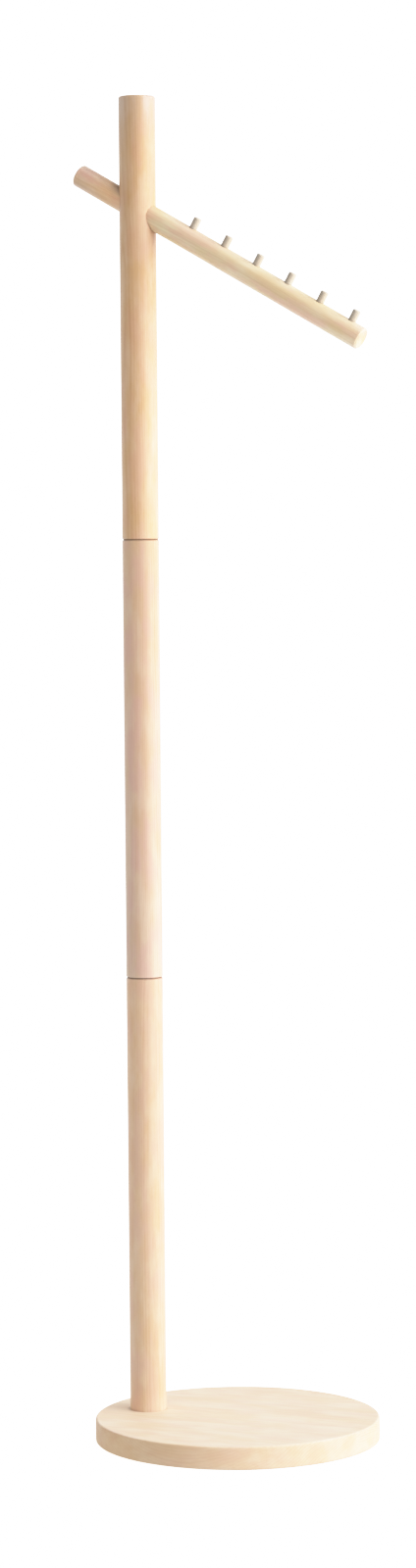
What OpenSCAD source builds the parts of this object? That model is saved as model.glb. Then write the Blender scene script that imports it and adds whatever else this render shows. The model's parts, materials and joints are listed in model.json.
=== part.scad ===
// Clothes rack: a round pole in three screwed sections on an off-centre disc,
// with a slanting bar through the pole and six pegs along the bar.
// Millimetres, +Z up. The origin is the centre of the base disc at floor level.
// The pole's axis is at x = -pole_offset, and the bar lies in the XZ plane,
// falling towards +X over the disc.

/* [Overall] */
// Height of the pole's top above the floor
rack_h = 1650; // [1500:10:1850]
// Distance from the base disc's centre back to the pole's axis
pole_offset = 120; // [90:5:125]

/* [Base] */
// Diameter of the round base disc
base_d = 350; // [320:5:420]
// Thickness of the base disc
base_t = 28; // [26:1:40]
// Rounding of the disc's top edge
base_round_top = 2.5; // [1:0.5:5]
// Rounding of the disc's bottom edge
base_round_bottom = 1.5; // [1:0.5:4]
// Depth of the round socket that the pole's foot stands in
seat_depth = 8; // [5:0.5:10]
// Thickness of the felt under the disc
felt_t = 2; // [1:0.5:3]
// Distance from the felt's rim in to the disc's edge
felt_inset = 9; // [6:1:20]

/* [Pole] */
// Diameter of the pole
pole_d = 45; // [42:1:52]
// Rounding of each section's end at a joint
joint_round = 2; // [1:0.5:3]
// Rounding of the pole's top edge
pole_round = 3; // [1:0.5:5]

/* [Bar] */
// Diameter of the slanting bar
bar_d = 28; // [26:1:32]
// Slope of the bar below the horizontal, degrees
bar_angle = 29.5; // [20:0.5:36]
// Distance from the pole's top down to where the bar crosses the pole's axis
bar_drop = 137; // [110:1:200]
// Length of the arm, from the pole's axis to its lower end
arm_len = 334.5; // [330:0.5:400]
// Length of the stub, from the pole's axis to its upper end
stub_len = 90; // [60:1:110]
// Chamfer on both ends of the bar
bar_chamfer = 2; // [0.5:0.5:3]

/* [Pegs] */
// Diameter of a peg
peg_d = 10; // [8:1:11]
// Height of a peg above the bar's surface
peg_out = 13.5; // [10:0.5:20]
// Distance along the bar from the pole's axis to the first peg
peg_first = 76.5; // [60:0.5:76.5]
// Distance along the bar from one peg to the next
peg_pitch = 47.25; // [40:0.25:49]
// Chamfer on a peg's end
peg_chamfer = 1; // [0.4:0.2:1.2]

/* [Fits] */
// Radial gap around a piece in its wooden hole
wood_gap = 0.1; // [0.05:0.05:0.2]
// Radial gap around a threaded or glued piece in its hole
thread_gap = 0.05; // [0.03:0.01:0.1]

/* [Hidden] */
$fn = 96;

eps = 1;                                   // how far a cut runs past a face
base_r = base_d / 2;
pole_r = pole_d / 2;
bar_r = bar_d / 2;
peg_r = peg_d / 2;
base_top = felt_t + base_t;                // the disc's upper face
seat_z = base_top - seat_depth;            // the socket's floor, where the pole stands
section = (rack_h - base_top) / 3;         // visible length of each pole section
joint_1 = base_top + section;              // lower joint
joint_2 = base_top + 2 * section;          // upper joint
bar_z = rack_h - bar_drop;                 // height where the bar crosses the pole's axis

// base bolt, M8 with a socket head, and its washer
bolt_r = 4;
bolt_len = 60;
bolt_head_r = 6.5;
bolt_head_h = 8;
bolt_socket = 6;                           // across the flats
washer_r = 10;
washer_t = 2;
recess_r = 11;                             // counterbore for head and washer
recess_depth = 12;
recess_z = felt_t + recess_depth;          // the counterbore's roof
foot_insert_r = 6;
foot_insert_len = 30;
foot_flange_r = 8;
foot_flange_t = 1.5;

// locating dowel beside the bolt
dowel_r = 3;
dowel_off = 16.5;                          // from the pole's axis towards the disc's centre
dowel_in_base = 12 - (8 - seat_depth);
dowel_in_pole = 18;

// stud and insert of a pole joint, M10
stud_r = 5;
stud_down = 45;
stud_up = 35;
joint_insert_r = 7;
joint_insert_len = 30;
joint_flange_r = 9;
joint_flange_t = 1.5;

// countersunk screw that locks the bar
screw_r = 2.25;
screw_head_r = 4.5;
screw_len = 30;
screw_sink = 0.7;                          // the head's face below the pole's surface
screw_y = pole_r - screw_sink;

wood_a = [0.87, 0.74, 0.57];
wood_b = [0.85, 0.71, 0.54];
wood_c = [0.89, 0.77, 0.60];
peg_wood = [0.84, 0.70, 0.52];
steel = [0.72, 0.73, 0.75];
brass = [0.80, 0.67, 0.38];
felt = [0.35, 0.34, 0.33];

// places its children at the pole's axis, at height z
module at_pole(z = 0) translate([-pole_offset, 0, z]) children();

// places its children on the bar: x runs down the arm from the pole's axis, z out of the bar's top
module on_bar() at_pole(bar_z) rotate([0, bar_angle, 0]) children();

// a solid round rod standing on z = 0, with a chamfer c1 at its bottom and c2 at its top
module rod(r, h, c1, c2)
  rotate_extrude()
    polygon([[0, 0], [r - c1, 0], [r, c1], [r, h - c2], [r - c2, h], [0, h]]);

// a tube with a flange at its foot, standing on z = 0
module flanged_insert(r, len, flange_r, flange_t, bore_r)
  rotate_extrude()
    polygon([[bore_r + 0.6, 0], [flange_r, 0], [flange_r, flange_t], [r, flange_t],
             [r, len - 1], [r - 1, len], [bore_r, len], [bore_r, 0.6]]);

// the hole in wood for a flanged insert, opening downwards at z = 0, with room for the stud's tip
module insert_hole(r, len, flange_r, flange_t, tip_r, tip_z) {
  translate([0, 0, -eps]) cylinder(r = flange_r + thread_gap, h = flange_t + eps);
  translate([0, 0, -eps]) cylinder(r = r + thread_gap, h = len + 0.5 + eps);
  translate([0, 0, -eps]) cylinder(r = tip_r, h = tip_z + eps);
}

// a solid round piece standing on z = 0, with a true arc c1 on its bottom edge and c2 on its top edge
module turned(r, h, c1, c2)
  rotate_extrude() {
    polygon([[0, 0], [r - c1, 0], [r - c1, c1], [r, c1],
             [r, h - c2], [r - c2, h - c2], [r - c2, h], [0, h]]);
    translate([r - c1, c1]) intersection() {
      circle(r = c1);
      translate([0, -c1]) square([c1, c1]);
    }
    translate([r - c2, h - c2]) intersection() {
      circle(r = c2);
      square([c2, c2]);
    }
  }

// round base: socket for the pole on top, counterbored bolt hole and dowel hole
module base_disc() color(wood_c)
  difference() {
    translate([0, 0, felt_t]) turned(base_r, base_t, base_round_bottom, base_round_top);
    at_pole(seat_z) cylinder(r = pole_r + wood_gap, h = seat_depth + eps);
    at_pole(base_top - 0.5) cylinder(r1 = pole_r + wood_gap, r2 = pole_r + wood_gap + 0.6, h = 0.6);
    at_pole(felt_t - eps) cylinder(r = recess_r, h = recess_depth + eps);
    at_pole(recess_z - eps) cylinder(r = bolt_r + 0.5, h = seat_z - recess_z + 2 * eps);
    at_pole(seat_z - dowel_in_base - 0.3) translate([dowel_off, 0, 0])
      cylinder(r = dowel_r + thread_gap, h = dowel_in_base + 0.3 + eps);
  }

// felt disc under the base, with an opening for the bolt
module base_felt() color(felt)
  difference() {
    cylinder(r = base_r - felt_inset, h = felt_t);
    at_pole(-eps) cylinder(r = recess_r + 3, h = felt_t + 2 * eps);
  }

// a plain pole section from z1 to z2, rounded at both ends
module section_body(z1, z2, c1, c2) at_pole(z1) turned(pole_r, z2 - z1, c1, c2);

// lower section: foot with insert and dowel holes, top with the stud's hole
module lower_pole() color(wood_a)
  difference() {
    section_body(seat_z, joint_1, 1, joint_round);
    at_pole(seat_z) insert_hole(foot_insert_r, foot_insert_len, foot_flange_r, foot_flange_t,
                                bolt_r + 0.4, recess_z - washer_t + bolt_len - seat_z + 2);
    at_pole(seat_z - eps) translate([dowel_off, 0, 0])
      cylinder(r = dowel_r + thread_gap, h = dowel_in_pole + 0.3 + eps);
    at_pole(joint_1 - stud_down - 0.3) cylinder(r = stud_r + thread_gap, h = stud_down + 0.3 + eps);
  }

// middle section: insert below, stud above
module middle_pole() color(wood_b)
  difference() {
    section_body(joint_1, joint_2, joint_round, joint_round);
    at_pole(joint_1) insert_hole(joint_insert_r, joint_insert_len, joint_flange_r, joint_flange_t,
                                 stud_r + 0.4, stud_up + 2);
    at_pole(joint_2 - stud_down - 0.3) cylinder(r = stud_r + thread_gap, h = stud_down + 0.3 + eps);
  }

// upper section: insert below, slanting hole for the bar, screw hole at the back
module upper_pole() color(wood_a)
  difference() {
    section_body(joint_2, rack_h, joint_round, pole_round);
    at_pole(joint_2) insert_hole(joint_insert_r, joint_insert_len, joint_flange_r, joint_flange_t,
                                 stud_r + 0.4, stud_up + 2);
    on_bar() rotate([0, 90, 0]) translate([0, 0, -pole_d * 1.5]) cylinder(r = bar_r + wood_gap, h = pole_d * 3);
    at_pole(bar_z) rotate([-90, 0, 0]) cylinder(r = screw_r + thread_gap, h = pole_r + eps);
    at_pole(bar_z) rotate([-90, 0, 0]) translate([0, 0, screw_y - (screw_head_r - screw_r)])
      cylinder(r1 = screw_r + thread_gap, r2 = screw_head_r + thread_gap, h = screw_head_r - screw_r);
    at_pole(bar_z) rotate([-90, 0, 0]) translate([0, 0, screw_y])
      cylinder(r = screw_head_r + thread_gap, h = screw_sink + eps);
  }

// slanting bar with chamfered ends, six peg holes and the screw's pilot hole
module hanging_bar() color(wood_c)
  difference() {
    on_bar() rotate([0, 90, 0]) translate([0, 0, -stub_len])
      rod(bar_r, stub_len + arm_len, bar_chamfer, bar_chamfer);
    for (i = [0 : 5]) on_bar() translate([peg_first + i * peg_pitch, 0, 0]) {
      translate([0, 0, bar_r - peg_out - 0.5]) cylinder(r = peg_r + thread_gap, h = peg_out + 0.5 + eps);
      translate([0, 0, bar_r - 0.4]) cylinder(r1 = peg_r + thread_gap, r2 = peg_r + thread_gap + 0.8, h = 0.8);
    }
    at_pole(bar_z) rotate([-90, 0, 0]) translate([0, 0, screw_y - screw_len - 1])
      cylinder(r = screw_r + thread_gap, h = screw_len + 1 + pole_r);
  }

// peg number i, counted down the arm: as much of it is in the bar as stands out
module hanger_peg(i) color(peg_wood)
  on_bar() translate([peg_first + (i - 1) * peg_pitch, 0, bar_r - peg_out])
    rod(peg_r, 2 * peg_out, 0.6, peg_chamfer);
module hanger_peg_1() hanger_peg(1);
module hanger_peg_2() hanger_peg(2);
module hanger_peg_3() hanger_peg(3);
module hanger_peg_4() hanger_peg(4);
module hanger_peg_5() hanger_peg(5);
module hanger_peg_6() hanger_peg(6);

// socket head bolt, driven up from below
module base_bolt() color(steel)
  at_pole(recess_z - washer_t - bolt_head_h)
    difference() {
      rotate_extrude()
        polygon([[0, 0], [bolt_head_r - 0.8, 0], [bolt_head_r, 0.8], [bolt_head_r, bolt_head_h],
                 [bolt_r, bolt_head_h], [bolt_r, bolt_head_h + bolt_len - 1],
                 [bolt_r - 1, bolt_head_h + bolt_len], [0, bolt_head_h + bolt_len]]);
      translate([0, 0, -eps]) cylinder(r = bolt_socket / 2 / cos(30), h = 4 + eps, $fn = 6);
    }

// washer under the bolt's head
module base_washer() color(steel)
  at_pole(recess_z - washer_t)
    difference() {
      rod(washer_r, washer_t, 0.3, 0.3);
      translate([0, 0, -eps]) cylinder(r = bolt_r + 0.2, h = washer_t + 2 * eps);
    }

// wooden dowel that stops the pole from turning on the base
module base_dowel() color(peg_wood)
  at_pole(seat_z - dowel_in_base) translate([dowel_off, 0, 0])
    rod(dowel_r, dowel_in_base + dowel_in_pole, 0.6, 0.6);

// threaded insert in the pole's foot
module pole_foot_insert() color(brass)
  at_pole(seat_z) flanged_insert(foot_insert_r, foot_insert_len, foot_flange_r, foot_flange_t, bolt_r + thread_gap);

// double-ended stud of a pole joint at height z, and the insert that it screws into
module joint_stud(z) color(steel) at_pole(z - stud_down) rod(stud_r, stud_down + stud_up, 1, 1);
module joint_insert(z) color(brass)
  at_pole(z) flanged_insert(joint_insert_r, joint_insert_len, joint_flange_r, joint_flange_t, stud_r + thread_gap);
module lower_joint_stud() joint_stud(joint_1);
module lower_joint_insert() joint_insert(joint_1);
module upper_joint_stud() joint_stud(joint_2);
module upper_joint_insert() joint_insert(joint_2);

// countersunk screw from the pole's back into the bar, with a hexagon socket
module bar_lock_screw() color(steel)
  at_pole(bar_z) rotate([-90, 0, 0]) translate([0, 0, screw_y - screw_len])
    difference() {
      rotate_extrude()
        polygon([[0, 0], [screw_r, 4], [screw_r, screw_len - (screw_head_r - screw_r)],
                 [screw_head_r, screw_len], [0, screw_len]]);
      translate([0, 0, screw_len - 2]) cylinder(r = 3 / 2 / cos(30), h = 2 + eps, $fn = 6);
    }

base_disc();
base_felt();
lower_pole();
middle_pole();
upper_pole();
hanging_bar();
hanger_peg_1();
hanger_peg_2();
hanger_peg_3();
hanger_peg_4();
hanger_peg_5();
hanger_peg_6();
base_bolt();
base_washer();
base_dowel();
pole_foot_insert();
lower_joint_stud();
lower_joint_insert();
upper_joint_stud();
upper_joint_insert();
bar_lock_screw();
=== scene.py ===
"""A wooden clothes rack: turned pole sections on a round base, and a slanting bar with six pegs.

Lengths in the shape code are millimetres in each piece's own frame; meshes are written in metres in the row frame.
"""

import json
import math

import bpy
import numpy as np
from mathutils import Matrix, Vector, noise
from mathutils.geometry import delaunay_2d_cdt

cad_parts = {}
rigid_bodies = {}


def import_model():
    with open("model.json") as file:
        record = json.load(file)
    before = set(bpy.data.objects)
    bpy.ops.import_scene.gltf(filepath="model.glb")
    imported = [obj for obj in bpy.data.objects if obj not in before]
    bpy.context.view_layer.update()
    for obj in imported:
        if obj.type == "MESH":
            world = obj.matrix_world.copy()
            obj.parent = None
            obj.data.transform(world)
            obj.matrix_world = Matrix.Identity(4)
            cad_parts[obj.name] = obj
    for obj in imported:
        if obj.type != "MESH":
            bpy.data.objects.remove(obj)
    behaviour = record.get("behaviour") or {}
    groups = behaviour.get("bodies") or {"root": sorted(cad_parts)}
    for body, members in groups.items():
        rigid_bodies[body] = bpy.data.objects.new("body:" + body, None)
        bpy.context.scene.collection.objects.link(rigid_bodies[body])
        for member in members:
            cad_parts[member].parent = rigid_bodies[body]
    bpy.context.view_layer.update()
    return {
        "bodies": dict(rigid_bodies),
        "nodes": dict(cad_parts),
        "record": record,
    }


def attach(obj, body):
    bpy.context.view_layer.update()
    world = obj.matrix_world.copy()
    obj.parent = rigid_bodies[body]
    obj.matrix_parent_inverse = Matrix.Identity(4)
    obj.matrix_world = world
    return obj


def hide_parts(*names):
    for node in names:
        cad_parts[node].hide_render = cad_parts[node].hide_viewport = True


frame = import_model()

kept = set(frame["nodes"].values()) | set(frame["bodies"].values())
for stray in [o for o in bpy.data.objects if o not in kept]:
    bpy.data.objects.remove(stray)

# ---------------------------------------------------------------------------
# sizes, as in the construction
# ---------------------------------------------------------------------------
POLE_X = -120.0
POLE_R = 22.5
BASE_R, BASE_LOW, BASE_TOP, SEAT_Z = 175.0, 2.0, 30.0, 22.0
JOINT_1, JOINT_2, TOP_Z = 570.0, 1110.0, 1650.0
JOINT_ROUND, TOP_ROUND = 2.0, 3.0
BAR_Z, BAR_R, BAR_TILT = 1513.0, 14.0, math.radians(29.5)
STUB, ARM, BAR_CHAMFER = 90.0, 334.5, 2.0
PEG_FIRST, PEG_PITCH, PEG_R, PEG_OUT = 76.5, 47.25, 5.0, 13.5
SCREW_R, SCREW_HEAD_R, SCREW_Y = 2.25, 4.5, 21.8
WOOD_GAP, THREAD_GAP = 0.1, 0.05

AT_POLE = Matrix.Translation((POLE_X, 0, 0))
ON_BAR = Matrix.Translation((POLE_X, 0, BAR_Z)) @ Matrix.Rotation(BAR_TILT, 4, "Y")
BAR_TURNED = ON_BAR @ Matrix.Rotation(math.radians(90), 4, "Y")  # z runs down the arm, -x out of the bar's top


# ---------------------------------------------------------------------------
# mesh building
# ---------------------------------------------------------------------------
class Shell:
    """Collects vertices, faces and a true surface normal for each face corner."""

    def __init__(self):
        self.verts, self.faces, self.corners, self.rings = [], [], [], {}

    def vert(self, x, y, z):
        self.verts.append((float(x), float(y), float(z)))
        return len(self.verts) - 1

    def face(self, ids, normals):
        """Adds a face, wound so that it looks the way its normals point."""
        if len(set(ids)) < 3:
            return
        a, b, c = (self.verts[i] for i in ids[:3])
        u = (b[0] - a[0], b[1] - a[1], b[2] - a[2])
        w = (c[0] - a[0], c[1] - a[1], c[2] - a[2])
        if len(ids) == 4:
            d = self.verts[ids[3]]
            u = (c[0] - a[0], c[1] - a[1], c[2] - a[2])
            w = (d[0] - b[0], d[1] - b[1], d[2] - b[2])
        g = (
            u[1] * w[2] - u[2] * w[1],
            u[2] * w[0] - u[0] * w[2],
            u[0] * w[1] - u[1] * w[0],
        )
        s = sum(g[k] * sum(n[k] for n in normals) for k in range(3))
        if s < 0:
            ids, normals = list(reversed(ids)), list(reversed(normals))
        self.faces.append(list(ids))
        self.corners.extend(normals)

    def ring(self, r, z, n, at=(0.0, 0.0)):
        """The n vertices of a circle in a plane of constant z, made once."""
        key = (round(r, 6), round(z, 6), n, round(at[0], 6), round(at[1], 6))
        if key not in self.rings:
            if r < 1e-9:
                self.rings[key] = [self.vert(at[0], at[1], z)] * n
            else:
                self.rings[key] = [
                    self.vert(
                        at[0] + r * math.cos(2 * math.pi * i / n),
                        at[1] + r * math.sin(2 * math.pi * i / n),
                        z,
                    )
                    for i in range(n)
                ]
        return self.rings[key]

    def band(self, a, b, na, nb):
        """Faces between two closed rows of vertices, na and nb their normals."""
        n = len(a)
        for i in range(n):
            j = (i + 1) % n
            ids, ns = [a[i], a[j], b[j], b[i]], [na[i], na[j], nb[j], nb[i]]
            clean, cn = [], []
            for k in range(4):
                if ids[k] not in clean:
                    clean.append(ids[k])
                    cn.append(ns[k])
            self.face(clean, cn)

    def turn(self, profile, n, at=(0.0, 0.0)):
        """A surface of revolution. profile is a list of runs; a run is a list of (r, z, nr, nz)."""
        angle = [2 * math.pi * i / n for i in range(n)]
        for run in profile:
            for (r0, z0, a0, b0), (r1, z1, a1, b1) in zip(run, run[1:]):
                lower, upper = self.ring(r0, z0, n, at), self.ring(r1, z1, n, at)
                self.band(
                    lower,
                    upper,
                    [(a0 * math.cos(t), a0 * math.sin(t), b0) for t in angle],
                    [(a1 * math.cos(t), a1 * math.sin(t), b1) for t in angle],
                )

    def fill(self, points, ids, constraints, keep, place, normal):
        """Triangulates points of a flat domain. A point without an id becomes a vertex at place(u, v).
        keep(u, v) says whether a triangle with its middle there belongs to the surface."""
        found = delaunay_2d_cdt(
            [Vector(p) for p in points], constraints, [], 0, 1e-6, True
        )
        flat, _, tris, origin = found[0], found[1], found[2], found[3]
        made = []
        for k, p in enumerate(flat):
            known = [ids[i] for i in origin[k] if ids[i] is not None]
            made.append(known[0] if known else None)
        for t in tris:
            u = sum(flat[k][0] for k in t) / 3
            v = sum(flat[k][1] for k in t) / 3
            if not keep(u, v):
                continue
            for k in t:
                if made[k] is None:
                    made[k] = self.vert(*place(flat[k][0], flat[k][1]))
            self.face([made[k] for k in t], [normal(flat[k][0], flat[k][1]) for k in t])

    def plane(self, z, up, outer, holes, inner=()):
        """A flat face at z between the ring outer = (r, n, (x, y)) and the rings of its holes."""
        points, ids, constraints = [], [], []
        for r, n, at in [outer, *holes]:
            ring, first = self.ring(r, z, n, at), len(points)
            for i in ring:
                points.append(self.verts[i][:2])
                ids.append(i)
            constraints += [(first + i, first + (i + 1) % n) for i in range(n)]
        for p in inner:
            points.append(p)
            ids.append(None)

        def keep(u, v):
            r, n, at = outer
            if math.hypot(u - at[0], v - at[1]) > r:
                return False
            return all(
                math.hypot(u - c[0], v - c[1]) > q * math.cos(math.pi / m)
                for q, m, c in holes
            )

        self.fill(
            points,
            ids,
            constraints,
            keep,
            lambda u, v: (u, v, z),
            lambda u, v: (0.0, 0.0, 1.0 if up else -1.0),
        )

    def wall(self, r, rows, n, seam, holes, clear=0.5):
        """A cylinder's wall between rings at rows[0] and rows[-1], with holes through it.
        A hole is (its edge as a list of (angle, z, vertex), a function (angle, z) that is true inside it, and one
        that gives about how far a point outside it is from its edge)."""
        points, ids, constraints = [], [], []
        low, high = self.ring(r, rows[0], n), self.ring(r, rows[-1], n)
        first_column = round(seam / (2 * math.pi / n))
        step = 2 * math.pi / n
        for z, ring in ((rows[0], low), (rows[-1], high)):
            start = len(points)
            for i in range(n + 1):
                points.append((r * (seam + i * step), z))
                ids.append(ring[(first_column + i) % n])
            constraints += [(start + i, start + i + 1) for i in range(n)]
        left = [0]
        right = [n]
        for z in rows[1:-1]:
            ring = self.ring(r, z, n)
            for i in range(n + 1):
                t = seam + i * step
                if any(inside(t, z) or away(t, z) < clear for _, inside, away in holes):
                    continue
                if i == 0:
                    left.append(len(points))
                if i == n:
                    right.append(len(points))
                points.append((r * t, z))
                ids.append(ring[(first_column + i) % n])
        left.append(n + 1)
        right.append(2 * n + 1)
        constraints += list(zip(left, left[1:])) + list(zip(right, right[1:]))
        for edge, _, _ in holes:
            start, m = len(points), len(edge)
            for t, z, i in edge:
                points.append((r * t, z))
                ids.append(i)
            constraints += [(start + i, start + (i + 1) % m) for i in range(m)]
        self.fill(
            points,
            ids,
            constraints,
            lambda u, v: not any(inside(u / r, v) for _, inside, _ in holes),
            lambda u, v: (r * math.cos(u / r), r * math.sin(u / r), v),
            lambda u, v: (math.cos(u / r), math.sin(u / r), 0.0),
        )

    def object(self, name, place, marks=None):
        """The finished mesh as an object. marks gives, for a vertex in the piece's own frame, how rubbed it is and how
        much painted shade it takes.
        """
        used = sorted({i for f in self.faces for i in f})
        new = {old: k for k, old in enumerate(used)}
        to = Matrix.Scale(0.001, 4) @ place
        turn = place.to_3x3()
        me = bpy.data.meshes.new(name)
        me.from_pydata(
            [to @ Vector(self.verts[i]) for i in used],
            [],
            [[new[i] for i in f] for f in self.faces],
        )
        me.polygons.foreach_set("use_smooth", [True] * len(me.polygons))
        if marks:
            found = [marks(*self.verts[i]) for i in used]
            for k, label in enumerate(("rubbed", "painted_shade")):
                layer = me.attributes.new(label, "FLOAT", "POINT")
                layer.data.foreach_set("value", [float(m[k]) for m in found])
        me.normals_split_custom_set(
            [(turn @ Vector(n)).normalized() for n in self.corners]
        )
        me.validate()
        obj = bpy.data.objects.new(name, me)
        bpy.context.scene.collection.objects.link(obj)
        return obj


def straight(r0, z0, r1, z1, cuts=()):
    """A straight run of a profile. Going up is an outer wall, going in is a face that looks up."""
    length = math.hypot(r1 - r0, z1 - z0)
    nr, nz = (z1 - z0) / length, -(r1 - r0) / length
    return [
        (r0 + (r1 - r0) * t, z0 + (z1 - z0) * t, nr, nz) for t in (0.0, *cuts, 1.0)
    ]


def arc(cr, cz, radius, start, end, steps=6):
    """A rounded edge, its angles in degrees, 0 outwards and 90 up."""
    return [
        (
            cr + radius * math.cos(math.radians(start + (end - start) * k / steps)),
            cz + radius * math.sin(math.radians(start + (end - start) * k / steps)),
            math.cos(math.radians(start + (end - start) * k / steps)),
            math.sin(math.radians(start + (end - start) * k / steps)),
        )
        for k in range(steps + 1)
    ]


def softened(points, radii, steps=3):
    """A run through corner points, each inner corner rounded by its radius, as on a sanded edge."""
    run = []
    p = [np.array(q, float) for q in points]
    for k in range(len(p)):
        if k == 0 or k == len(p) - 1:
            a, b = (p[0], p[1]) if k == 0 else (p[-2], p[-1])
            d = (b - a) / np.linalg.norm(b - a)
            run.append((p[k][0], p[k][1], d[1], -d[0]))
            continue
        d0 = (p[k] - p[k - 1]) / np.linalg.norm(p[k] - p[k - 1])
        d1 = (p[k + 1] - p[k]) / np.linalg.norm(p[k + 1] - p[k])
        n0, n1 = np.array([d0[1], -d0[0]]), np.array([d1[1], -d1[0]])
        turn = math.acos(max(-1.0, min(1.0, float(d0 @ d1))))
        if turn < 1e-6:
            run.append((p[k][0], p[k][1], n0[0], n0[1]))
            continue
        back = radii[k] * math.tan(turn / 2)
        start = p[k] - d0 * back
        outward = 1.0 if d0[0] * d1[1] - d0[1] * d1[0] > 0 else -1.0
        centre = start - n0 * radii[k] * outward
        for s in range(steps + 1):
            w = s / steps
            n = n0 * math.sin((1 - w) * turn) + n1 * math.sin(w * turn)
            n = n / np.linalg.norm(n)
            q = centre + n * radii[k] * outward
            run.append((q[0], q[1], n[0], n[1]))
    return run


def graded(z0, z1, fine=(0.6, 1.6, 4.0, 9.0, 18.0), pitch=45.0):
    """Shares of the way from z0 to z1, close together near both ends."""
    length = z1 - z0
    marks = set()
    for f in fine:
        if f < length / 2:
            marks |= {f, length - f}
    low, high = fine[-1], length - fine[-1]
    count = max(1, round((high - low) / pitch))
    if high > low:
        marks |= {low + (high - low) * k / count for k in range(1, count)}
    return [m / length for m in sorted(marks)]


def near(distance, width):
    """1 at the edge, falling smoothly to 0 at that distance from it."""
    t = max(0.0, min(1.0, 1 - distance / width))
    return t * t * (3 - 2 * t)


N_POLE, N_BAR, N_PEG, N_BASE = 128, 112, 48, 320


# ---------------------------------------------------------------------------
# pole sections
# ---------------------------------------------------------------------------
def socket_below(z, r, length, flange_r, flange_t, tip_r, tip_z):
    """The hole for a flanged insert, going up from the face at z, as profile runs."""
    return [
        [(flange_r, z, -1.0, 0.0), (flange_r, z + flange_t, -1.0, 0.0)],
        [(flange_r, z + flange_t, 0.0, -1.0), (r, z + flange_t, 0.0, -1.0)],
        [(r, z + flange_t, -1.0, 0.0), (r, z + length, -1.0, 0.0)],
        [(r, z + length, 0.0, -1.0), (tip_r, z + length, 0.0, -1.0)],
        [(tip_r, z + length, -1.0, 0.0), (tip_r, z + tip_z, -1.0, 0.0)],
        [(tip_r, z + tip_z, 0.0, -1.0), (0.0, z + tip_z, 0.0, -1.0)],
    ]


def bore_above(z, r, depth):
    """A plain blind hole going down from the face at z, as profile runs."""
    return [
        [(r, z, -1.0, 0.0), (r, z - depth, -1.0, 0.0)],
        [(r, z - depth, 0.0, 1.0), (0.0, z - depth, 0.0, 1.0)],
    ]


STUD_HOLE_R = 5.0 + THREAD_GAP
JOINT_HOLE = dict(r=7.0 + THREAD_GAP, length=30.5, flange_r=9.0 + THREAD_GAP, flange_t=1.5, tip_r=5.4, tip_z=37.0)
FOOT_HOLE = dict(r=6.0 + THREAD_GAP, length=30.5, flange_r=8.0 + THREAD_GAP, flange_t=1.5, tip_r=4.4, tip_z=52.0)


def pole_marks(z_low, z_high, foot=False):
    """How rubbed a pole section is near its rounded ends, and how much painted shade it takes where pieces meet."""

    def marks(x, y, z):
        r = math.hypot(x, y)
        rubbed = max(near(abs(z - z_high), 5.0), 0.0 if foot else near(abs(z - z_low), 5.0))
        painted_shade = 0.0
        # painted shade at the sections' ends, in the groove where they meet
        for end in (z_low, z_high):
            if end < TOP_Z - 1:
                painted_shade = max(painted_shade, near(abs(z - end), 2.6) * (0.9 if r > 15 else 0.4))
        # painted shade where the lowest section stands on the base, strongest on the side away from the light
        if foot:
            painted_foot_shade = 0.08 + 0.22 * max(0.0, -x) / POLE_R
            painted_shade = max(painted_shade if z > z_high - 10 else 0.0, near(max(0.0, z - BASE_TOP), 4.0) * painted_foot_shade)
            rubbed = near(abs(z - z_high), 5.0)
        return rubbed, painted_shade

    return marks


def middle_section():
    s = Shell()
    low, high, e = JOINT_1, JOINT_2, JOINT_ROUND
    s.turn(
        [
            [(JOINT_HOLE["flange_r"], low, 0.0, -1.0), (15.0, low, 0.0, -1.0), (POLE_R - e, low, 0.0, -1.0)],
            arc(POLE_R - e, low + e, e, -90, 0, 8),
            straight(POLE_R, low + e, POLE_R, high - e, graded(low + e, high - e)),
            arc(POLE_R - e, high - e, e, 0, 90, 8),
            [(POLE_R - e, high, 0.0, 1.0), (12.0, high, 0.0, 1.0), (STUD_HOLE_R, high, 0.0, 1.0)],
            *bore_above(high, STUD_HOLE_R, 45.3),
            *socket_below(low, **JOINT_HOLE),
        ],
        N_POLE,
    )
    return s.object("middle_pole_turned", AT_POLE, pole_marks(low, high))


def lower_section():
    s = Shell()
    low, high, e = SEAT_Z, JOINT_1, JOINT_ROUND
    dowel = (3.0 + THREAD_GAP, 48, (16.5, 0.0))
    flange = FOOT_HOLE["flange_r"]
    s.plane(low, False, (POLE_R - 1.0, N_POLE, (0.0, 0.0)), [(flange, N_POLE, (0.0, 0.0)), dowel])
    s.turn(
        [
            arc(POLE_R - 1.0, low + 1.0, 1.0, -90, 0, 4),
            straight(POLE_R, low + 1.0, POLE_R, BASE_TOP),
            straight(POLE_R, BASE_TOP, POLE_R, high - e, graded(BASE_TOP, high - e)),
            arc(POLE_R - e, high - e, e, 0, 90, 8),
            [(POLE_R - e, high, 0.0, 1.0), (12.0, high, 0.0, 1.0), (STUD_HOLE_R, high, 0.0, 1.0)],
            *bore_above(high, STUD_HOLE_R, 45.3),
            *socket_below(low, **FOOT_HOLE),
        ],
        N_POLE,
    )
    s.turn(
        [
            [(dowel[0], low, -1.0, 0.0), (dowel[0], low + 18.3, -1.0, 0.0)],
            [(dowel[0], low + 18.3, 0.0, -1.0), (0.0, low + 18.3, 0.0, -1.0)],
        ],
        48,
        (16.5, 0.0),
    )
    return s.object("lower_pole_turned", AT_POLE, pole_marks(low, high, foot=True))


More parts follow.
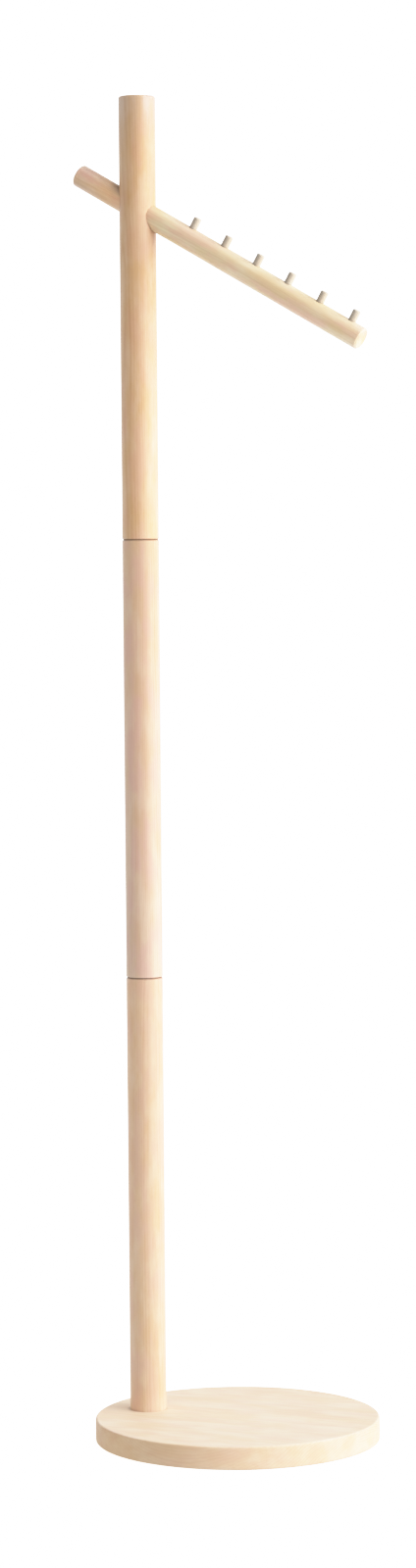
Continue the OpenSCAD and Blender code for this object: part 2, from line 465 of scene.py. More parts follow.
def upper_section():
    """The top section, with the bar's slanting hole through it and the screw's hole at the back."""
    s = Shell()
    low, high, e = JOINT_2, TOP_Z, JOINT_ROUND
    c, t = math.cos(BAR_TILT), math.sin(BAR_TILT)
    bore = BAR_R + WOOD_GAP
    ease = 0.4  # the sanded-off edge of the bar's hole
    m = 144

    def on_pole(rho, psi, side):
        """How far along the bar's axis a line beside it meets the pole's surface."""
        y = rho * math.cos(psi)
        return (side * math.sqrt(POLE_R**2 - y * y) - rho * math.sin(psi) * t) / c

    def at(rho, psi, along):
        """A point beside the bar's axis. psi is 0 at the back (+y) and a quarter turn up."""
        w = rho * math.sin(psi)
        return (along * c + w * t, rho * math.cos(psi), BAR_Z - along * t + w * c)

    def inward(psi):
        return (-math.sin(psi) * t, -math.cos(psi), -math.sin(psi) * c)

    holes, necks = [], {}
    for side, middle in ((1, 0.0), (-1, math.pi)):
        mouth = bore + ease
        edge, outer_ids, outer_n, neck_ids, neck_n = [], [], [], [], []
        for k in range(m):
            psi = 2 * math.pi * k / m
            x, y, z = at(mouth, psi, on_pole(mouth, psi, side))
            angle = math.atan2(y, x)
            if side < 0 and angle < 0:
                angle += 2 * math.pi
            i = s.vert(x, y, z)
            edge.append((angle, z, i))
            outer_ids.append(i)
            outer_n.append((math.cos(angle), math.sin(angle), 0.0))
            x, y, z = at(bore, psi, on_pole(bore, psi, side) - side * ease)
            neck_ids.append(s.vert(x, y, z))
            neck_n.append(inward(psi))
        half_n = [
            tuple(Vector([a[k] + b[k] for k in range(3)]).normalized())
            for a, b in zip(outer_n, neck_n)
        ]
        # one row between mouth and neck, so that the edge is round
        middle_ids = []
        for k in range(m):
            psi = 2 * math.pi * k / m
            rho = bore + ease * 0.29
            x, y, z = at(rho, psi, on_pole(rho, psi, side) - side * ease * 0.29)
            middle_ids.append(s.vert(x, y, z))
        s.band(outer_ids, middle_ids, outer_n, half_n)
        s.band(middle_ids, neck_ids, half_n, neck_n)
        necks[side] = neck_ids

        def distance(angle, z, mouth=mouth):
            x, y = POLE_R * math.cos(angle), POLE_R * math.sin(angle)
            w = x * t + (z - BAR_Z) * c
            return math.hypot(y, w) - mouth

        facing = (lambda a: math.cos(a) > 0) if side > 0 else (lambda a: math.cos(a) < 0)
        holes.append(
            (
                edge,
                lambda a, z, d=distance, f=facing: f(a) and d(a, z) < 0,
                lambda a, z, d=distance, f=facing: d(a, z) if f(a) else 9.0,
            )
        )

    # the screw's hole through the back wall
    head, shank = SCREW_HEAD_R + THREAD_GAP, SCREW_R + THREAD_GAP
    q = 48
    edge, rim_ids, rim_n = [], [], []
    for k in range(q):
        a = 2 * math.pi * k / q
        x, z = head * math.cos(a), BAR_Z + head * math.sin(a)
        y = math.sqrt(POLE_R**2 - x * x)
        i = s.vert(x, y, z)
        edge.append((math.atan2(y, x), z, i))
        rim_ids.append(i)
        rim_n.append((-math.cos(a), 0.0, -math.sin(a)))
    rows_of_screw = []
    for radius, y in ((head, SCREW_Y), (shank, SCREW_Y - (SCREW_HEAD_R - SCREW_R))):
        rows_of_screw.append(
            [
                s.vert(radius * math.cos(2 * math.pi * k / q), y, BAR_Z + radius * math.sin(2 * math.pi * k / q))
                for k in range(q)
            ]
        )
    cone_n = [
        tuple(Vector((-math.cos(2 * math.pi * k / q), 1.0, -math.sin(2 * math.pi * k / q))).normalized())
        for k in range(q)
    ]
    s.band(rim_ids, rows_of_screw[0], rim_n, rim_n)
    s.band(rows_of_screw[0], rows_of_screw[1], cone_n, cone_n)
    inner_edge, inner_ids = [], []
    for k in range(q):
        a = 2 * math.pi * k / q
        x, dz = shank * math.cos(a), shank * math.sin(a)
        along, w = x * c - dz * t, x * t + dz * c
        y = math.sqrt(bore * bore - w * w)
        i = s.vert(x, y, BAR_Z + dz)
        inner_edge.append((math.atan2(w, y), along, i))
        inner_ids.append(i)
    s.band(rows_of_screw[1], inner_ids, rim_n, rim_n)
    holes.append(
        (
            edge,
            lambda a, z: math.sin(a) > 0 and math.hypot(POLE_R * math.cos(a), z - BAR_Z) < head,
            lambda a, z: math.hypot(POLE_R * math.cos(a), z - BAR_Z) - head if math.sin(a) > 0 else 9.0,
        )
    )

    z0, z1 = 1474.0, 1552.0
    rows = [z0 + (z1 - z0) * k / 52 for k in range(53)]
    s.wall(POLE_R, rows, N_POLE, -math.pi / 2, holes, clear=0.7)

    # the bore itself, unrolled: angle round the bar's axis against the way along it
    points, ids, constraints = [], [], []
    ends = {}
    for side in (-1, 1):
        start = len(points)
        for k in range(m + 1):
            psi = -math.pi + 2 * math.pi * k / m
            i = necks[side][(k + m // 2) % m]
            points.append((bore * psi, on_pole(bore, psi, side) - side * ease))
            ids.append(i)
        constraints += [(start + k, start + k + 1) for k in range(m)]
        ends[side] = start
    start = len(points)
    for psi, along, i in inner_edge:
        points.append((bore * psi, along))
        ids.append(i)
    constraints += [(start + k, start + (k + 1) % q) for k in range(q)]
    # lines from end to end keep the faces on the cylinder, and rows of points do so beside the screw's hole
    for k in range(m + 1):
        psi = -math.pi + 2 * math.pi * k / m
        if bore * abs(psi) > shank + 0.5:
            constraints.append((ends[-1] + k, ends[1] + k))
            continue
        for along in range(-24, 25, 2):
            inside = on_pole(bore, psi, -1) + ease + 1 < along < on_pole(bore, psi, 1) - ease - 1
            if inside and math.hypot(along, bore * math.sin(psi)) > shank + 0.4:
                points.append((bore * psi, float(along)))
                ids.append(None)

    def in_bore(u, v):
        psi = u / bore
        if not on_pole(bore, psi, -1) + ease < v < on_pole(bore, psi, 1) - ease:
            return False
        w, y = bore * math.sin(psi), bore * math.cos(psi)
        x, dz = v * c + w * t, -v * t + w * c
        return not (y > 0 and math.hypot(x, dz) < shank)

    s.fill(
        points,
        ids,
        constraints,
        in_bore,
        lambda u, v: at(bore, u / bore, v),
        lambda u, v: inward(u / bore),
    )

    er = TOP_ROUND
    s.turn(
        [
            [(JOINT_HOLE["flange_r"], low, 0.0, -1.0), (15.0, low, 0.0, -1.0), (POLE_R - e, low, 0.0, -1.0)],
            arc(POLE_R - e, low + e, e, -90, 0, 8),
            straight(POLE_R, low + e, POLE_R, z0, graded(low + e, z0)),
            straight(POLE_R, z1, POLE_R, high - er, graded(z1, high - er)),
            arc(POLE_R - er, high - er, er, 0, 90, 10),
            [
                (r, high, 0.0, 1.0)
                for r in (POLE_R - er, 17.0, 13.0, 9.0, 5.0, 2.0, 0.0)
            ],
            *socket_below(low, **JOINT_HOLE),
        ],
        N_POLE,
    )
    base_marks = pole_marks(low, high)

    def marks(x, y, z):
        rubbed, painted_shade = base_marks(x, y, z)
        w = x * t + (z - BAR_Z) * c
        gap = math.hypot(y, w) - BAR_R
        # painted shade round the bar's mouths, on the arm's side only below the bar
        if abs(x) > 8 and gap > 0:
            lower_side = max(0.0, min(1.0, (8.0 - w) / 14.0))
            painted_shade = max(painted_shade, near(gap, 2.5) * (0.28 * lower_side if x > 0 else 0.5))
            rubbed = max(rubbed, near(abs(gap - 1.0), 2.0) * 0.5)
        # painted shade inside the bore
        if math.hypot(x, y) < POLE_R - 1.2 and gap < 1.5:
            painted_shade = 0.6
        # painted shade round the screw's head in its counterbore
        if y > 15:
            painted_shade = max(painted_shade, near(math.hypot(x, z - BAR_Z) - head, 2.0))
        return rubbed, painted_shade

    return s.object("upper_pole_turned", AT_POLE, marks)


# ---------------------------------------------------------------------------
# bar and pegs
# ---------------------------------------------------------------------------
def slanting_bar():
    """The bar, with softly broken peg holes along its top and the screw's pilot hole."""
    s = Shell()
    n = N_BAR
    hole_r, broken = PEG_R + THREAD_GAP, 0.25
    holes = []
    q = 48
    for k in range(6):
        centre = PEG_FIRST + k * PEG_PITCH
        edge, rim_ids, cone_n, wall_n = [], [], [], []
        throat, floor = [], []
        for i in range(q):
            a = 2 * math.pi * i / q
            # the mouth on the round surface, its edge just broken
            rho = hole_r + broken
            y, z = rho * math.sin(a), centre + rho * math.cos(a)
            x = -math.sqrt(BAR_R**2 - y * y)
            v = s.vert(x, y, z)
            angle = math.atan2(y, x)
            if angle < 0:
                angle += 2 * math.pi
            edge.append((angle, z, v))
            rim_ids.append(v)
            out = Vector((0.0, math.sin(a), math.cos(a)))
            soft = Vector((-1.0, 0.0, 0.0)) - out
            cone_n.append(tuple(soft.normalized()))
            wall_n.append(tuple(-out))
            lip = math.sqrt(BAR_R**2 - (hole_r * math.sin(a)) ** 2) - broken
            throat.append(s.vert(-lip, hole_r * math.sin(a), centre + hole_r * math.cos(a)))
            floor.append(s.vert(-(BAR_R - PEG_OUT - 0.5), hole_r * math.sin(a), centre + hole_r * math.cos(a)))
        s.band(rim_ids, throat, cone_n, cone_n)
        s.band(throat, floor, wall_n, wall_n)
        middle = s.vert(-(BAR_R - PEG_OUT - 0.5), 0.0, centre)
        s.band(floor, [middle] * q, [(-1.0, 0.0, 0.0)] * q, [(-1.0, 0.0, 0.0)] * q)
        def spread(a, z, w=centre):
            """Distance past the mouth of the hole, negative inside it."""
            if math.cos(a) > 0:
                return 9.0
            return math.hypot(BAR_R * math.sin(a), z - w) - (hole_r + broken)

        holes.append((edge, lambda a, z, f=spread: f(a, z) < 0, lambda a, z, f=spread: f(a, z)))

    # pilot hole for the locking screw, from the back
    shank = SCREW_R + THREAD_GAP
    edge, rim_ids, wall_n, floor = [], [], [], []
    for i in range(q):
        a = 2 * math.pi * i / q
        x, z = shank * math.cos(a), shank * math.sin(a)
        y = math.sqrt(BAR_R**2 - x * x)
        v = s.vert(x, y, z)
        edge.append((math.atan2(y, x), z, v))
        rim_ids.append(v)
        wall_n.append((-math.cos(a), 0.0, -math.sin(a)))
        floor.append(s.vert(x, -9.2, z))
    s.band(rim_ids, floor, wall_n, wall_n)
    middle = s.vert(0.0, -9.2, 0.0)
    s.band(floor, [middle] * q, [(0.0, 1.0, 0.0)] * q, [(0.0, 1.0, 0.0)] * q)

    def past(a, z):
        return math.hypot(BAR_R * math.cos(a), z) - shank if math.sin(a) > 0 else 9.0

    holes.append((edge, lambda a, z: past(a, z) < 0, past))

    z0, z1 = -STUB + 6.0, ARM - 6.0
    rows = sorted(
        {round(z, 4) for z in [z0, z1]}
        | {round(z0 + 6 * k, 4) for k in range(1, int((z1 - z0) / 6))}
        | {
            round(PEG_FIRST + k * PEG_PITCH + d, 4)
            for k in range(6)
            for d in np.arange(-9.0, 9.01, 1.2)
        }
        | {round(d, 4) for d in np.arange(-4.8, 4.81, 1.2)}
        | {round(d, 4) for d in np.arange(-50.0, -16.0, 1.7)}
        | {round(d, 4) for d in np.arange(16.0, 48.0, 2.1)}
    )
    rows = [z for k, z in enumerate(rows) if k in (0, len(rows) - 1) or (z - rows[k - 1] > 0.3 and z0 < z < z1)]
    s.wall(BAR_R, rows, n, 0.0, holes, clear=0.45)

    ch = BAR_CHAMFER
    low, high = -STUB, ARM
    start = [(r, low, 0.0, -1.0) for r in (0.0, 2.0, 4.0, 6.5, 8.5, 10.5)]
    end = softened(
        [(10.5, low), (BAR_R - ch, low), (BAR_R, low + ch), (BAR_R, z0)], [0, 0.7, 0.9, 0], 4
    )
    s.turn([start, end], n)
    end = softened(
        [(BAR_R, z1), (BAR_R, high - ch), (BAR_R - ch, high), (10.5, high)], [0, 0.9, 0.7, 0], 4
    )
    start = [(r, high, 0.0, 1.0) for r in (10.5, 8.5, 6.5, 4.0, 2.0, 0.0)]
    s.turn([end, start], n)

    def marks(x, y, z):
        edge_gap = min(z + STUB, ARM - z)
        r = math.hypot(x, y)
        rubbed = near(max(0.0, edge_gap - 1.0), 4.0) * near(max(0.0, BAR_R - r - 0.5), 4.0)
        painted_shade = 0.0
        # painted shade next to the pole, where the bar goes in, on its underside and sides, none on its top
        c, t = math.cos(BAR_TILT), math.sin(BAR_TILT)
        px = z * c - x * t
        out = math.hypot(px, y) - POLE_R
        painted_shade = near(max(0.0, out), 3.0) * 0.22 * max(0.0, min(1.0, (x + 8.0) / 14.0))
        if z < 0:
            # painted shade on the stub's underside, turned from the light, and on its upper side against the pole
            painted_shade = max(painted_shade, 0.26 * max(0.0, min(1.0, x / 9.0)))
            painted_shade = max(painted_shade, near(max(0.0, out), 16.0) * 1.05 * max(0.0, min(1.0, (-x - 3.0) / 7.0)))
        # painted shade round each peg's foot, and wear round each hole's rim
        for k in range(6):
            if x < 0:
                d = math.hypot(y, z - (PEG_FIRST + k * PEG_PITCH)) - hole_r
                painted_shade = max(painted_shade, near(max(0.0, d), 1.6) * 0.45)
                rubbed = max(rubbed, near(abs(d - 1.6), 1.6) * 0.3)
        return rubbed, painted_shade

    return s.object("hanging_bar_turned", BAR_TURNED, marks)


def peg(number):
    """A dowel peg, its end turned to a soft button edge, and as much of it in the bar as stands out."""
    s = Shell()
    low, high = BAR_R - PEG_OUT, BAR_R + PEG_OUT
    n = N_PEG
    foot = softened([(0.0, low), (PEG_R - 0.6, low), (PEG_R, low + 0.6), (PEG_R, BAR_R - 1.0)], [0, 0.3, 0.3, 0], 2)
    body = straight(PEG_R, BAR_R - 1.0, PEG_R, high - 1.1, (0.08, 0.2, 0.4, 0.6, 0.8, 0.92))
    tip = arc(PEG_R - 1.1, high - 1.1, 1.1, 0, 90, 6)
    face = [(r, high, 0.0, 1.0) for r in (PEG_R - 1.1, 2.0, 1.0, 0.0)]
    s.turn([foot, body, tip, face], n)

    def marks(x, y, z):
        r = math.hypot(x, y)
        rubbed = near(max(0.0, high - z - 0.6), 3.0) * near(max(0.0, PEG_R - r), 2.0)
        # painted shade at the foot, where the peg stands out of the bar, and on the part inside it
        painted_shade = 0.5 * near(max(0.0, z - BAR_R + 1.0), 3.0) if z > BAR_R - 1.0 else 0.5
        return rubbed, painted_shade

    along = PEG_FIRST + (number - 1) * PEG_PITCH
    place = ON_BAR @ Matrix.Translation((along, 0, 0)) @ Matrix.Rotation(math.radians(37.0 * number), 4, "Z")
    return s.object(f"hanger_peg_{number}_turned", place, marks)


# ---------------------------------------------------------------------------
# base
# ---------------------------------------------------------------------------
def base_board():
    """The round base board: socket for the pole's foot, and below it the counterbored bolt hole."""
    s = Shell()
    n, m = N_BASE, 128
    at = (POLE_X, 0.0)
    rt, rb = 2.5, 1.5
    sock, mouth = POLE_R + WOOD_GAP, POLE_R + WOOD_GAP + 0.5
    s.turn(
        [
            arc(BASE_R - rb, BASE_LOW + rb, rb, -90, 0, 6),
            straight(BASE_R, BASE_LOW + rb, BASE_R, BASE_TOP - rt, (0.1, 0.25, 0.5, 0.75, 0.9)),
            arc(BASE_R - rt, BASE_TOP - rt, rt, 0, 90, 10),
        ],
        n,
    )
    # the flat top: rings of points round the rim and the socket, and a loose grid between them
    inner = []
    for back, count in ((1.2, 240), (3.0, 200), (6.0, 160), (11.0, 120)):
        r = BASE_R - rt - back
        inner += [
            (r * math.cos(2 * math.pi * k / count), r * math.sin(2 * math.pi * k / count)) for k in range(count)
        ]
    for out, count in ((0.8, 112), (2.0, 96), (4.0, 80), (7.0, 72), (11.0, 60), (17.0, 48)):
        r = mouth + out
        inner += [
            (POLE_X + r * math.cos(2 * math.pi * k / count), r * math.sin(2 * math.pi * k / count))
            for k in range(count)
            if math.hypot(POLE_X + r * math.cos(2 * math.pi * k / count), r * math.sin(2 * math.pi * k / count))
            < BASE_R - rt - 13.5
        ]
    for a in range(-17, 18):
        for b in range(-20, 21):
            x, y = a * 10.0 + (5.0 if b % 2 else 0.0), b * 8.66
            if math.hypot(x, y) < BASE_R - rt - 17 and math.hypot(x - POLE_X, y) > mouth + 23:
                inner.append((x, y))
    inner = [p for p in inner if math.hypot(*p) < BASE_R - rt - 0.5]
    s.plane(BASE_TOP, True, (BASE_R - rt, n, (0.0, 0.0)), [(mouth, m, at)], inner)
    s.turn(
        [
            [
                (mouth, BASE_TOP, 0.0, 1.0),
                (mouth - 0.15, BASE_TOP - 0.04, -0.38, 0.92),
                (mouth - 0.36, BASE_TOP - 0.18, -0.71, 0.71),
                (sock, BASE_TOP - 0.5, -1.0, 0.0),
            ],
            [(sock, BASE_TOP - 0.5, -1.0, 0.0), (sock, SEAT_Z, -1.0, 0.0)],
        ],
        m,
        at,
    )
    hole, dowel = (4.5, 48, at), (3.0 + THREAD_GAP, 48, (POLE_X + 16.5, 0.0))
    s.plane(SEAT_Z, True, (sock, m, at), [hole, dowel])
    s.turn([[(4.5, SEAT_Z, -1.0, 0.0), (4.5, 14.0, -1.0, 0.0)]], 48, at)
    s.plane(14.0, False, (11.0, 96, at), [hole])
    s.turn([[(11.0, 14.0, -1.0, 0.0), (11.0, BASE_LOW, -1.0, 0.0)]], 96, at)
    s.turn(
        [
            [(dowel[0], SEAT_Z, -1.0, 0.0), (dowel[0], 9.7, -1.0, 0.0)],
            [(dowel[0], 9.7, 0.0, 1.0), (0.0, 9.7, 0.0, 1.0)],
        ],
        48,
        dowel[2],
    )
    under = [
        (r * math.cos(2 * math.pi * k / 72), r * math.sin(2 * math.pi * k / 72))
        for r in (30.0, 60.0, 90.0, 150.0, 165.0)
        for k in range(72)
        if math.hypot(r * math.cos(2 * math.pi * k / 72) - POLE_X, r * math.sin(2 * math.pi * k / 72)) > 16
    ]
    s.plane(BASE_LOW, False, (BASE_R - rb, n, (0.0, 0.0)), [(11.0, 96, at)], under)

    def marks(x, y, z):
        r = math.hypot(x, y)
        rubbed = 0.6 * near(abs(BASE_TOP - z) + max(0.0, BASE_R - 1.0 - r), 5.0)
        rubbed = max(rubbed, 0.6 * near(abs(z - BASE_LOW) + max(0.0, BASE_R - 1.0 - r), 4.0))
        # painted shade round the pole's foot, strongest on the side away from the light, in the socket and along the
        # bottom edge
        d = math.hypot(x - POLE_X, y) - POLE_R
        away = max(0.0, (POLE_X - x) / max(1.0, math.hypot(x - POLE_X, y)))
        painted_shade = near(max(0.0, d), 5.0) * (0.1 + 0.55 * away) if z > BASE_TOP - 0.1 else 0.0
        if d < 1.0:
            painted_shade = 0.4
        if z < BASE_LOW + 3.0:
            painted_shade = max(painted_shade, near(z - BASE_LOW, 3.0) * 0.25)
        return rubbed, painted_shade

    return s.object("base_disc_board", Matrix.Identity(4), marks)


def felt_pad():
    """The felt under the base: a pressed sheet with a slightly fuzzy, uneven cut edge."""
    s = Shell()
    n, m = 360, 96
    at = (POLE_X, 0.0)
    top, low = 2.0, 0.0
    r = BASE_R - 9.0

    def edge(radius, z, count, centre, sign, jitter):
        ids, normals = [], []
        for k in range(count):
            a = 2 * math.pi * k / count
            wob = noise.noise(Vector((math.cos(a) * 23 + z, math.sin(a) * 23, z * 1.7 + sign))) * jitter
            q = radius - sign * abs(wob)
            ids.append(s.vert(centre[0] + q * math.cos(a), centre[1] + q * math.sin(a), z))
            normals.append((sign * math.cos(a), sign * math.sin(a), 0.0))
        return ids, normals

    def side(radius, count, centre, sign):
        levels = ((low, 0.5), (0.35, 0.1), (1.0, 0.0), (1.65, 0.1), (top, 0.45))
        rows = [
            edge(radius - sign * inset, z, count, centre, sign, 0.12) for z, inset in levels
        ]
        for (a, na), (b, nb) in zip(rows, rows[1:]):
            s.band(a, b, na, nb)
        return rows[0][0], rows[-1][0]

    def within(u, v, ring, centre):
        """True if a point lies inside a row of the edge, whose corners are at even angles."""
        count = len(ring)
        k = int((math.atan2(v - centre[1], u - centre[0]) % (2 * math.pi)) / (2 * math.pi / count)) % count
        a, b = s.verts[ring[k]], s.verts[ring[(k + 1) % count]]
        return (b[0] - a[0]) * (v - a[1]) - (b[1] - a[1]) * (u - a[0]) > 0

    outer_low, outer_top = side(r, n, (0.0, 0.0), 1.0)
    inner_low, inner_top = side(14.0, m, at, -1.0)
    for up, outer, hole, z in ((True, outer_top, inner_top, top), (False, outer_low, inner_low, low)):
        points = [s.verts[i][:2] for i in outer + hole]
        ids = list(outer + hole)
        constraints = [(k, (k + 1) % n) for k in range(n)] + [(n + k, n + (k + 1) % m) for k in range(m)]
        for q in (20, 45, 70, 95, 120, 140, 155):
            count = max(12, int(q * 0.9))
            for k in range(count):
                x, y = q * math.cos(2 * math.pi * k / count), q * math.sin(2 * math.pi * k / count)
                if math.hypot(x - POLE_X, y) > 19:
                    points.append((x, y))
                    ids.append(None)
        s.fill(
            points,
            ids,
            constraints,
            lambda u, v, outer=outer, hole=hole: within(u, v, outer, (0.0, 0.0)) and not within(u, v, hole, at),
            lambda u, v, z=z: (u, v, z),
            lambda u, v, up=up: (0.0, 0.0, 1.0 if up else -1.0),
        )

    return s.object("base_felt_pad", Matrix.Identity(4), lambda x, y, z: (0.0, 0.0))


# ---------------------------------------------------------------------------
# materials
# ---------------------------------------------------------------------------
class Graph:
    """Short ways to add shader nodes to a new material."""

    def __init__(self, name):
        self.material = bpy.data.materials.new(name)
        self.material.use_nodes = True
        self.tree = self.material.node_tree
        self.tree.nodes.clear()
        self.out = self.tree.nodes.new("ShaderNodeOutputMaterial")
        self.shader = self.tree.nodes.new("ShaderNodeBsdfPrincipled")
        self.tree.links.new(self.shader.outputs["BSDF"], self.out.inputs["Surface"])

    def put(self, socket, value):
        if isinstance(value, bpy.types.NodeSocket):
            self.tree.links.new(value, socket)
        elif isinstance(value, (tuple, list)) and len(value) == 3 and socket.type == "RGBA":
            socket.default_value = (*value, 1.0)
        else:
            socket.default_value = value

    def math(self, op, a, b=0.0, c=0.0, clamp=False):
        n = self.tree.nodes.new("ShaderNodeMath")
        n.operation, n.use_clamp = op, clamp
        for socket, value in zip(n.inputs, (a, b, c)):
            self.put(socket, value)
        return n.outputs[0]

    def vector(self, op, a, b=(0.0, 0.0, 0.0), scale=1.0):
        n = self.tree.nodes.new("ShaderNodeVectorMath")
        n.operation = op
        self.put(n.inputs[0], a)
        if op == "SCALE":
            self.put(n.inputs["Scale"], scale)
        else:
            self.put(n.inputs[1], b)
        return n.outputs["Value"] if op in ("DOT_PRODUCT", "LENGTH", "DISTANCE") else n.outputs["Vector"]

    def noise(self, at, scale=1.0, detail=2.0, rough=0.5, distort=0.0):
        n = self.tree.nodes.new("ShaderNodeTexNoise")
        self.put(n.inputs["Vector"], at)
        n.inputs["Scale"].default_value = scale
        n.inputs["Detail"].default_value = detail
        n.inputs["Roughness"].default_value = rough
        n.inputs["Distortion"].default_value = distort
        return n.outputs["Fac"]

    def range(self, value, low, high, to_low=0.0, to_high=1.0, smooth=True):
        n = self.tree.nodes.new("ShaderNodeMapRange")
        n.interpolation_type = "SMOOTHSTEP" if smooth else "LINEAR"
        n.clamp = True
        for key, v in zip(("Value", "From Min", "From Max", "To Min", "To Max"), (value, low, high, to_low, to_high)):
            self.put(n.inputs[key], v)
        return n.outputs["Result"]

    def mix(self, share, a, b, blend="MIX"):
        n = self.tree.nodes.new("ShaderNodeMix")
        n.data_type, n.blend_type, n.clamp_factor = "RGBA", blend, True
        self.put(n.inputs["Factor"], share)
        self.put(n.inputs[6], a)
        self.put(n.inputs[7], b)
        return n.outputs[2]

    def blend(self, share, a, b):
        """a at share 0 and b at share 1, for vectors whose values may pass 1."""
        n = self.tree.nodes.new("ShaderNodeMix")
        n.data_type, n.clamp_factor = "VECTOR", True
        self.put(n.inputs["Factor"], share)
        self.put(n.inputs[4], a)
        self.put(n.inputs[5], b)
        return n.outputs[1]

    def split(self, v):
        n = self.tree.nodes.new("ShaderNodeSeparateXYZ")
        self.put(n.inputs[0], v)
        return n.outputs

    def join(self, x, y, z):
        n = self.tree.nodes.new("ShaderNodeCombineXYZ")
        for socket, value in zip(n.inputs, (x, y, z)):
            self.put(socket, value)
        return n.outputs[0]

    def attribute(self, name):
        n = self.tree.nodes.new("ShaderNodeAttribute")
        n.attribute_type, n.attribute_name = "GEOMETRY", name
        return n.outputs["Fac"]

    def coordinates(self, kind="Object"):
        return self.tree.nodes.new("ShaderNodeTexCoord").outputs[kind]

    def bump(self, height, distance, strength=1.0, normal=None):
        n = self.tree.nodes.new("ShaderNodeBump")
        n.inputs["Strength"].default_value = strength
        n.inputs["Distance"].default_value = distance
        self.put(n.inputs["Height"], height)
        if normal is not None:
            self.put(n.inputs["Normal"], normal)
        return n.outputs["Normal"]


def srgb(r, g, b):
    """Linear colour from 0 to 255 display values."""
    return tuple(
        (c / 255 / 12.92) if c / 255 <= 0.04045 else ((c / 255 + 0.055) / 1.055) ** 2.4 for c in (r, g, b)
    )


